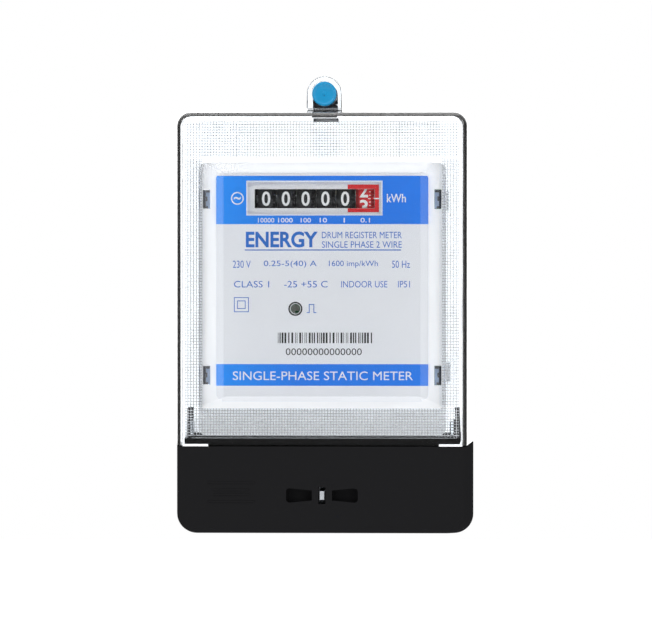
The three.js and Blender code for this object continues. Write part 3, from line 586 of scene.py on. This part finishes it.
def add_ring(bm, x, z, radius, line, y=PLATE_Y):
    """A printed circle, drawn as a flat ring."""
    start = bm.verts.new((x + radius, y - INK, z)), bm.verts.new((x + radius - line, y - INK, z))
    edge = bm.edges.new(start)
    bmesh.ops.spin(bm, geom=[*start, edge], cent=(x, y, z), axis=(0, -1, 0), angle=2 * math.pi, steps=40,
                   use_merge=True)


white_ink = ink("white_screen_ink", "#f4f6f8")
blue_ink = ink("blue_screen_ink", "#1f6fce")
dark_ink = ink("black_screen_ink", "#1c1d20")

bm = bmesh.new()
DECADES = (("10000", -23.6, -17.6), ("1000", -16.2, -10.8), ("100", -7.9, -4.1), ("10", -0.9, 1.8),
           ("1", 7.9, 8.4), ("0.1", 14.1, 17.6))
for words, left, right in DECADES:
    add_words(bm, words, left * MM, right * MM, 36.9 * MM, 38.6 * MM, weight=0.01)
add_words(bm, "kWh", 23.8 * MM, 30.8 * MM, 44.3 * MM, 47.4 * MM, weight=0.01)
add_ring(bm, -31.2 * MM, 45.8 * MM, 2.35 * MM, 0.42 * MM)
add_words(bm, "~", -32.5 * MM, -29.9 * MM, 45.3 * MM, 46.4 * MM, weight=0.02)
add_words(bm, "SINGLE-PHASE STATIC METER", -32.9 * MM, 33.4 * MM, -21.1 * MM, -17.9 * MM)
add_frame(bm, -27.9 * MM, 22.2 * MM, 39.5 * MM, 52.3 * MM, 0.55 * MM)
new_piece("plate_print_white", bm, white_ink, "case")

bm = bmesh.new()
add_words(bm, "ENERGY", -28.1 * MM, -1.6 * MM, 27.7 * MM, 33.6 * MM, weight=0.03)
add_words(bm, "DRUM REGISTER METER", -0.1 * MM, 29.3 * MM, 31.1 * MM, 33.5 * MM)
add_words(bm, "SINGLE PHASE 2 WIRE", -0.1 * MM, 29.3 * MM, 27.6 * MM, 30.0 * MM)
add_bar(bm, -28.5 * MM, 29.0 * MM, 26.6 * MM, 27.0 * MM)
RATINGS = (("230 V", -32.9, -26.3), ("0.25-5(40) A", -21.5, -2.0), ("1600 imp/kWh", 2.5, 20.5),
           ("50 Hz", 25.7, 32.3))
for words, left, right in RATINGS:
    add_words(bm, words, left * MM, right * MM, 20.2 * MM, 22.9 * MM)
for words, left, right in (("CLASS 1", -32.5, -19.5), ("-25 +55 C", -14.0, 2.0), ("INDOOR USE", 7.0, 24.0),
                           ("IP51", 27.9, 32.3)):
    add_words(bm, words, left * MM, right * MM, 13.0 * MM, 15.4 * MM)
add_frame(bm, -32.5 * MM, -27.0 * MM, 3.9 * MM, 9.4 * MM, 0.28 * MM)
add_frame(bm, -31.3 * MM, -28.2 * MM, 5.1 * MM, 8.2 * MM, 0.28 * MM)
PULSE = ((-5.7, -4.9, 3.6, 3.9), (-4.9, -4.6, 3.6, 6.9), (-4.9, -2.9, 6.6, 6.9), (-3.2, -2.9, 3.6, 6.9),
         (-2.9, -2.1, 3.6, 3.9))
for left, right, low, high in PULSE:
    add_bar(bm, left * MM, right * MM, low * MM, high * MM)
new_piece("plate_print_blue", bm, blue_ink, "case")

bm = bmesh.new()
BAR_STEP = 0.36
position, turn = -16.3, 7
while position < 18.6:
    turn = (turn * 5 + 3) % 16
    width = BAR_STEP * (1 + turn % 3) * 0.62
    add_bar(bm, position * MM, (position + width) * MM, -7.5 * MM, -3.6 * MM)
    position += width + BAR_STEP * (1 + (turn // 3) % 2)
add_words(bm, "00000000000000", -13.4 * MM, 14.6 * MM, -11.9 * MM, -9.4 * MM)
add_ring(bm, -9.85 * MM, 5.15 * MM, 2.6 * MM, 0.55 * MM)
new_piece("plate_print_black", bm, dark_ink, "case")

# Plate clips -----------------------------------------------------------------------------------------------
# Four small dark blue nylon snap clips that hold the plate on the carrier, each a hook moulded in one with
# its bar, pressed into a slot of the carrier over a paler foot. Their near-black navy also stands in for the
# shade inside the slots: painted shade.

def moulded_plastic(name, code, roughness=0.42, grain=0.5, depth=0.15, level=0.5):
    """Opaque moulded plastic: even colour, and a fine spark-eroded grain that breaks up its gloss."""
    material, tree, shader, place = start_material(name)
    skin = add_node(tree, "ShaderNodeTexNoise", [("Vector", place), ("Scale", 1 / (grain * MM)),
                                                 ("Detail", 3.0)])
    tone = add_node(tree, "ShaderNodeMix", [(0, skin.outputs[0]), (6, linear(code)),
                                            (7, darker(code, 0.88))], data_type="RGBA")
    gloss = add_node(tree, "ShaderNodeMapRange", [("Value", skin.outputs[0]), ("To Min", roughness * 0.9),
                                                  ("To Max", roughness * 1.12)])
    bump = add_node(tree, "ShaderNodeBump", [("Height", skin.outputs[0]), ("Strength", depth),
                                             ("Distance", 0.05 * MM)])
    tree.links.new(tone.outputs[2], shader.inputs["Base Color"])
    tree.links.new(gloss.outputs[0], shader.inputs["Roughness"])
    tree.links.new(bump.outputs[0], shader.inputs["Normal"])
    shader.inputs["Specular IOR Level"].default_value = level
    return material


CLIP_PLACES = [(side, z) for side in (-1, 1) for z in (45.5 * MM, -19.4 * MM)]
# Painted shade: the clips' near-black navy darkens the carrier's slots as their shade would.
navy_nylon_slot_shade = moulded_plastic("navy_nylon_slot_shade", "#0c1a30", 0.35)
bm = bmesh.new()
CLIP_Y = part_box("carrier")[0].y
for side, z in CLIP_PLACES:
    for x0, x1, z0, z1 in ((43.75, 42.75, -3.4, 3.4), (42.8, 41.3, 2.5, 3.4), (42.8, 41.9, -3.4, -2.6),
                           (42.8, 42.2, -0.7, 1.0)):
        left, right = sorted((side * x0 * MM, side * x1 * MM))
        add_box(bm, (left, CLIP_Y - 0.35 * MM, z + z0 * MM), (right, CLIP_Y + 1.2 * MM, z + z1 * MM))
clip_edges = [e for e in bm.edges if e.calc_length() > 0.4 * MM]
round_edges(bm, clip_edges, 0.12 * MM, 2)
new_piece("plate_clips", bm, navy_nylon_slot_shade, "case")
pale_nylon = moulded_plastic("pale_blue_nylon", "#b4cdf0", 0.4)
bm = bmesh.new()
for side, z in CLIP_PLACES:
    left, right = sorted((side * 41.2 * MM, side * 43.7 * MM))
    add_box(bm, (left, CLIP_Y + 1.25 * MM, z - 3.4 * MM), (right, CLIP_Y + 1.6 * MM, z + 3.4 * MM))
round_edges(bm, bm.edges[:], 0.08 * MM, 2)
new_piece("plate_clip_feet", bm, pale_nylon, "case")

# Register mask ---------------------------------------------------------------------------------------------
# Cream moulded frame behind the plate's opening, with a red printed field round the tenths drum and a
# white index mark beside it.

mask_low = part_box("register_mask")[0]
cream_abs = moulded_plastic("cream_abs", "#f3f1ee")
finish_node("register_mask", cream_abs)
red_ink = ink("red_screen_ink", "#e00a12")
bm = bmesh.new()
RED_BARS = ((9.35, 20.9, 49.25, 50.9), (9.35, 20.9, 40.7, 42.15), (19.35, 20.9, 42.15, 49.25))
for left, right, low, high in RED_BARS:
    add_bar(bm, left * MM, right * MM, low * MM, high * MM, mask_low.y)
new_piece("mask_red_field", bm, red_ink, "case")
bm = bmesh.new()
add_bar(bm, 19.0 * MM, 21.4 * MM, 45.5 * MM, 45.95 * MM, mask_low.y - INK)
new_piece("index_mark", bm, white_ink, "case")

# Register drums --------------------------------------------------------------------------------------------
# Six acetal number wheels, five black and the tenths wheel red, with white hot-stamped digits that rise as
# the wheels turn. Each number stands 36 degrees below the one before it.

DIGIT_HEIGHT = 5.4 * MM
DIGIT_WIDTH = 3.1 * MM
STAMP = 0.04 * MM
black_acetal = moulded_plastic("black_acetal", "#0d0d0f", 0.4)
red_acetal = moulded_plastic("red_acetal", "#d8121c", 0.4)
natural_acetal = moulded_plastic("natural_acetal", "#e9e5d8", 0.35)
stamped_white = ink("hot_stamped_white", "#f5f5f2", 0.35)
DRUMS = ("drum_10000", "drum_1000", "drum_100", "drum_10", "drum_1", "drum_tenths")
drum_low, drum_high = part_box("drum_1")
DRUM_RADIUS = (drum_high.z - drum_low.z) / 2
DRUM_AXIS = Vector((0, (drum_low.y + drum_high.y) / 2, (drum_low.z + drum_high.z) / 2))


def wrap_on_drum(bm, angle):
    """Bends what is drawn about height 0 round the drum's axis, then turns it to its place."""
    for v in bm.verts:
        turn = v.co.z / DRUM_RADIUS + angle
        radius = DRUM_RADIUS - v.co.y
        v.co.y = DRUM_AXIS.y - radius * math.cos(turn)
        v.co.z = DRUM_AXIS.z + radius * math.sin(turn)


def take_in(bm, mark):
    """Adds a finished mark to the others on its drum."""
    stamped = bpy.data.meshes.new("stamped")
    mark.to_mesh(stamped)
    mark.free()
    bm.from_mesh(stamped)
    bpy.data.meshes.remove(stamped)


def add_digit(bm, number, x, angle):
    """A number on the drum, cut across in strips so that it bends with the surface."""
    mark = bmesh.new()
    half = DIGIT_WIDTH / 2 * (0.45 if number == 1 else 1)
    add_words(mark, str(number), x - half, x + half, -DIGIT_HEIGHT / 2, DIGIT_HEIGHT / 2, -STAMP, 0.018)
    for step in range(-4, 5):
        bmesh.ops.bisect_plane(mark, geom=[*mark.verts, *mark.edges, *mark.faces], dist=1e-8,
                               plane_co=(0, 0, step * DIGIT_HEIGHT / 9), plane_no=(0, 0, 1))
    wrap_on_drum(mark, angle)
    take_in(bm, mark)


def add_tick(bm, tick, x):
    """One of the fifty fine lines beside the tenths' numbers; every fifth is longer."""
    mark = bmesh.new()
    start = 1.5 * MM if tick % 5 else 1.2 * MM
    add_box(mark, (x + start, -STAMP, -0.12 * MM), (x + 2.15 * MM, 0, 0.12 * MM))
    wrap_on_drum(mark, math.radians(7.2 * tick))
    take_in(bm, mark)


for name in DRUMS:
    low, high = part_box(name)
    x = (low.x + high.x) / 2
    tenths = name == "drum_tenths"
    finish_node(name, red_acetal if tenths else black_acetal)
    bm = bmesh.new()
    shown, digit_x = (2.5, x - 0.4 * MM) if tenths else (0, x)
    for number in range(10):
        add_digit(bm, number, digit_x, math.radians(36) * (shown - number))
    if tenths:
        for tick in range(50):
            add_tick(bm, tick, x)
    new_piece(name + "_digits", bm, stamped_white, name)

# Terminal cover --------------------------------------------------------------------------------------------
# Satin black moulded hood over the terminals, held by a sealing tongue that comes through a slot between
# two flared finger recesses.

TERMINAL_TOP = -45.4 * MM
terminal_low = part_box("terminal_cover")[0]
black_pc = moulded_plastic("satin_black_polycarbonate", "#161617", 0.6, grain=0.35, depth=0.2, level=0)
bm = bmesh.new()
hood(bm, TERMINAL_TOP, terminal_low.z, 0, DRAFT, BOTTOM_RADIUS, False)
terminal_cover = new_piece("terminal_cover_shell", bm, black_pc, "terminal_cover",
                           ["terminal_cover"], smooth=0)
thicken(terminal_cover)

wall_y = terminal_low.y + CASE_WALL
SEAL_Z = (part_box("sealing_tongue")[0].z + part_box("sealing_tongue")[1].z) / 2
bm = bmesh.new()
add_box(bm, (-15.5 * MM, wall_y - 0.6 * MM, SEAL_Z - 5 * MM),
        (15.5 * MM, wall_y + 3.5 * MM, SEAL_Z + 5 * MM))
combine(terminal_cover, bm, "UNION")
WEDGE = ((3.7, 1.85), (13.2, 2.8))
WEDGE_DEPTH = 3.6 * MM
for side in (-1, 1):
    bm = bmesh.new()
    (near, low), (far, high) = WEDGE
    corners = [(near, -low), (far, -high), (far, high), (near, low)]
    face = bm.faces.new([bm.verts.new((side * x * MM, terminal_low.y + WEDGE_DEPTH, SEAL_Z + z * MM))
                         for x, z in corners])
    wide = [v for v in face.verts if abs(v.co.x) > 10 * MM]
    bmesh.ops.bevel(bm, geom=wide, offset=1.4 * MM, segments=5, profile=0.5, affect="VERTICES", material=-1)
    grown = bmesh.ops.extrude_face_region(bm, geom=bm.faces[:])["geom"]
    bmesh.ops.translate(bm, verts=[g for g in grown if isinstance(g, bmesh.types.BMVert)],
                        vec=(0, -WEDGE_DEPTH - MM, 0))
    combine(terminal_cover, bm, "DIFFERENCE")
bm = bmesh.new()
add_box(bm, (-1.3 * MM, terminal_low.y - MM, SEAL_Z - 3.15 * MM),
        (1.3 * MM, wall_y + 5 * MM, SEAL_Z + 3.15 * MM))
combine(terminal_cover, bm, "DIFFERENCE")
bm = bmesh.new()
wire_y = terminal_low.y + 1.9 * MM
add_rod(bm, (-5.2 * MM, wire_y, SEAL_Z), (5.2 * MM, wire_y, SEAL_Z), MM, 24)
combine(terminal_cover, bm, "DIFFERENCE")
WIRE_NOTCH = 4.7 * MM
for number in range(1, 5):
    low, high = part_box(f"terminal_barrel_{number}")
    x, y = (low.x + high.x) / 2, (low.y + high.y) / 2
    below, above = terminal_low.z - MM, low.z - 0.9 * MM
    bm = bmesh.new()
    add_rod(bm, (x, y, below), (x, y, above), WIRE_NOTCH, 32)
    combine(terminal_cover, bm, "DIFFERENCE")
    bm = bmesh.new()
    add_box(bm, (x - WIRE_NOTCH, y, below), (x + WIRE_NOTCH, COVER_BACK_Y + MM, above))
    combine(terminal_cover, bm, "DIFFERENCE")
even_shading(terminal_cover)

RELIEF_BARS = ((-42, -24.7, -66), (-42, -24.7, -59.1), (-40, -26.7, -63.4), (-40, -26.7, -61.7))
bm = bmesh.new()
for left, right, low in RELIEF_BARS:
    add_box(bm, (left * MM, terminal_low.y - 0.18 * MM, low * MM),
            (right * MM, terminal_low.y + 0.2 * MM, (low + 0.7) * MM))
round_edges(bm, bm.edges[:], 0.12 * MM, 2)
new_piece("terminal_cover_relief", bm, black_pc, "terminal_cover")

# Carried-over solids ---------------------------------------------------------------------------------------
# The working parts inside, as they come from the frame, each in its own material.


def metal(name, code, roughness, line=0.25, stretch=(1, 1, 1)):
    """Bare or plated metal: mirror sheen broken by the fine lines that its tool or plating leaves."""
    material, tree, shader, place = start_material(name)
    shader.inputs["Metallic"].default_value = 1
    drawn = add_node(tree, "ShaderNodeMapping", [("Vector", place), ("Scale", stretch)])
    marks = add_node(tree, "ShaderNodeTexNoise", [("Vector", drawn.outputs[0]), ("Scale", 1 / (line * MM))])
    tone = add_node(tree, "ShaderNodeMix", [(0, marks.outputs[0]), (6, linear(code)),
                                            (7, darker(code, 0.75))], data_type="RGBA")
    gloss = add_node(tree, "ShaderNodeMapRange", [("Value", marks.outputs[0]), ("To Min", roughness * 0.8),
                                                  ("To Max", roughness * 1.3)])
    tree.links.new(tone.outputs[2], shader.inputs["Base Color"])
    tree.links.new(gloss.outputs[0], shader.inputs["Roughness"])
    return material


# Painted light: the white plastic glows, at 0.22 above 30 mm under the middle and at 0.6 below 33 mm under
# it, where the carrier's foot lies in shade.
CARRIER_PAINTED_GLOW = 0.22
FOOT_PAINTED_GLOW = 0.6
zinc_steel = metal("zinc_plated_steel", "#b9bdc2", 0.3)
blackened_steel = metal("blackened_steel", "#34363a", 0.42)
turned_brass = metal("turned_brass", "#d9b565", 0.28, stretch=(0.2, 0.2, 4))
manganin = metal("manganin_strip", "#b9805a", 0.32)
white_abs_painted_glow = moulded_plastic("white_abs_painted_glow", "#fdfdfe", 0.45)
# Painted light: white emission on the white plastic, stronger towards the carrier's foot.
white_abs_painted_glow.node_tree.nodes["Principled BSDF"].inputs["Emission Color"].default_value = (1, 1, 1, 1)
white_tree = white_abs_painted_glow.node_tree
white_place = add_node(white_tree, "ShaderNodeTexCoord").outputs["Object"]
white_height = add_node(white_tree, "ShaderNodeSeparateXYZ", [(0, white_place)]).outputs["Z"]
painted_glow = add_node(white_tree, "ShaderNodeMapRange", [("Value", white_height), ("From Min", -33 * MM),
                                                   ("From Max", -30 * MM), ("To Min", FOOT_PAINTED_GLOW),
                                                   ("To Max", CARRIER_PAINTED_GLOW)])
white_tree.links.new(painted_glow.outputs[0], white_tree.nodes["Principled BSDF"].inputs["Emission Strength"])
yellow_film = moulded_plastic("dipped_epoxy_yellow", "#c9b23a", 0.25, grain=2)
blue_epoxy = moulded_plastic("dipped_epoxy_blue", "#2a62a8", 0.25, grain=2)
blue_sleeve = moulded_plastic("pvc_sleeve", "#1d2a4a", 0.3)
moulded_epoxy = moulded_plastic("moulded_epoxy_black", "#1a1a1a", 0.6)
laminate = moulded_plastic("green_solder_mask", "#1c6a38", 0.35, grain=3)
lamp_resin = moulded_plastic("lamp_resin", "#d8d8d0", 0.3)
enamelled_copper = metal("enamelled_copper_winding", "#b06a35", 0.3, line=0.3, stretch=(0.3, 5, 0.3))
CARRIED = {
    "carrier": (white_abs_painted_glow, "white_plastic"), "lead_connector": (white_abs_painted_glow, "white_plastic"),
    "terminal_block": (black_pc, "black_plastic"), "register_frame": (black_pc, "black_plastic"),
    "motor_case": (black_pc, "black_plastic"), "hanger": (blackened_steel, "dark_zinc_steel"),
    "cover_screw": (zinc_steel, "zinc_plated_steel"), "sealing_tongue": (zinc_steel, "zinc_plated_steel"),
    "drum_shaft": (zinc_steel, "zinc_plated_steel"), "pinion_shaft": (zinc_steel, "zinc_plated_steel"),
    "neutral_link": (turned_brass, "brass"), "shunt_strip": (manganin, "copper"),
    "motor_coil": (enamelled_copper, "copper"), "circuit_board": (laminate, "board_laminate"),
    "film_capacitor": (yellow_film, "film_yellow"),
    "electrolytic_capacitor": (blue_sleeve, "capacitor_sleeve"),
    "varistor": (blue_epoxy, "varistor_coating"), "metering_chip": (moulded_epoxy, "chip_black"),
    "pulse_lamp": (lamp_resin, "lamp_resin"), "light_pipe": (clear_case, "clear_polycarbonate"),
    "motor_rotor": (natural_acetal, "gear_plastic"), "reduction_gear": (natural_acetal, "gear_plastic"),
}
for name, (material, slot) in CARRIED.items():
    finish_node(name, material)
for number in range(1, 6):
    finish_node(f"transfer_pinion_{number}", natural_acetal)
for number in range(1, 5):
    finish_node(f"board_screw_{number}", zinc_steel)
    finish_node(f"terminal_barrel_{number}", turned_brass)
for number in range(1, 9):
    finish_node(f"clamp_screw_{number}", zinc_steel)

# Seal cap --------------------------------------------------------------------------------------------------
# Blue polythene disc pressed over the cover screw, with a shallow dish and a gate mark in the middle.

cap_low, cap_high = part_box("seal_cap")
blue_polythene = moulded_plastic("blue_polythene", "#0086b8", 0.35, grain=1.2, depth=0.5)
bm = bmesh.new()
cap_radius = (cap_high.x - cap_low.x) / 2
cap_thick = cap_high.y - cap_low.y
profile = [(0, 0), (cap_radius - 0.3 * MM, 0), (cap_radius, 0.3 * MM), (cap_radius, cap_thick - 0.45 * MM),
           (cap_radius - 0.15 * MM, cap_thick - 0.12 * MM), (cap_radius - 0.5 * MM, cap_thick),
           (cap_radius - 0.9 * MM, cap_thick - 0.05 * MM), (cap_radius - 1.3 * MM, cap_thick - 0.3 * MM),
           (0.7 * MM, cap_thick - 0.3 * MM), (0.5 * MM, cap_thick - 0.1 * MM), (0, cap_thick - 0.08 * MM)]
cap_middle = Vector((0, cap_high.y, (cap_low.z + cap_high.z) / 2))
add_turned(bm, profile, Matrix.Translation(cap_middle) @ Matrix.Rotation(math.pi / 2, 4, "X"))
new_piece("seal_cap_disc", bm, blue_polythene, "case", ["seal_cap"])

# Internal leads --------------------------------------------------------------------------------------------
# Three short stranded wires in PVC insulation, from the terminal straps to the plug on the board.

LEAD_RADIUS = 0.7 * MM
LEADS = (
    ("shunt_lead_in", "#c23b2e", "lead_red",
     ((-30, 22.9, -38), (-30, 25.4, -38), (-27, 26.9, -36.5), (-16, 25.9, -34.3), (-5, 19.8, -33.8),
      (-1.5, 18.3, -32.3), (-1, 18.3, -30.3))),
    ("shunt_lead_out", "#e8e6e0", "lead_white",
     ((-13, 22.9, -38), (-13, 24.4, -38), (-10, 24.9, -39), (0, 21.3, -39.5), (4, 19.3, -37), (5, 18.3, -34),
      (5, 18.3, -30.3))),
    ("neutral_lead", "#2456a8", "lead_blue",
     ((14, 22.9, -38), (14, 25.1, -38), (13, 25.9, -35.5), (11.5, 22, -33.4), (11, 18.3, -32),
      (11, 18.3, -30.3))),
)
for name, code, slot, points in LEADS:
    route = bpy.data.curves.new(name, "CURVE")
    route.dimensions = "3D"
    route.bevel_depth = LEAD_RADIUS
    route.bevel_resolution = 4
    route.resolution_u = 8
    route.use_fill_caps = True
    line = route.splines.new("BEZIER")
    line.bezier_points.add(len(points) - 1)
    for knot, (x, depth, z) in zip(line.bezier_points, points):
        knot.co = (x * MM, -depth * MM, z * MM)
        knot.handle_left_type = knot.handle_right_type = "AUTO"
    holder = bpy.data.objects.new(name + "_route", route)
    bpy.context.scene.collection.objects.link(holder)
    tube = bpy.data.meshes.new_from_object(holder.evaluated_get(bpy.context.evaluated_depsgraph_get()))
    bpy.data.objects.remove(holder)
    bm = bmesh.new()
    bm.from_mesh(tube)
    bpy.data.meshes.remove(tube)
    pvc = moulded_plastic("pvc_insulation_" + slot[5:], code, 0.4, grain=0.8)
    new_piece(name + "_wire", bm, pvc, "case", [name])
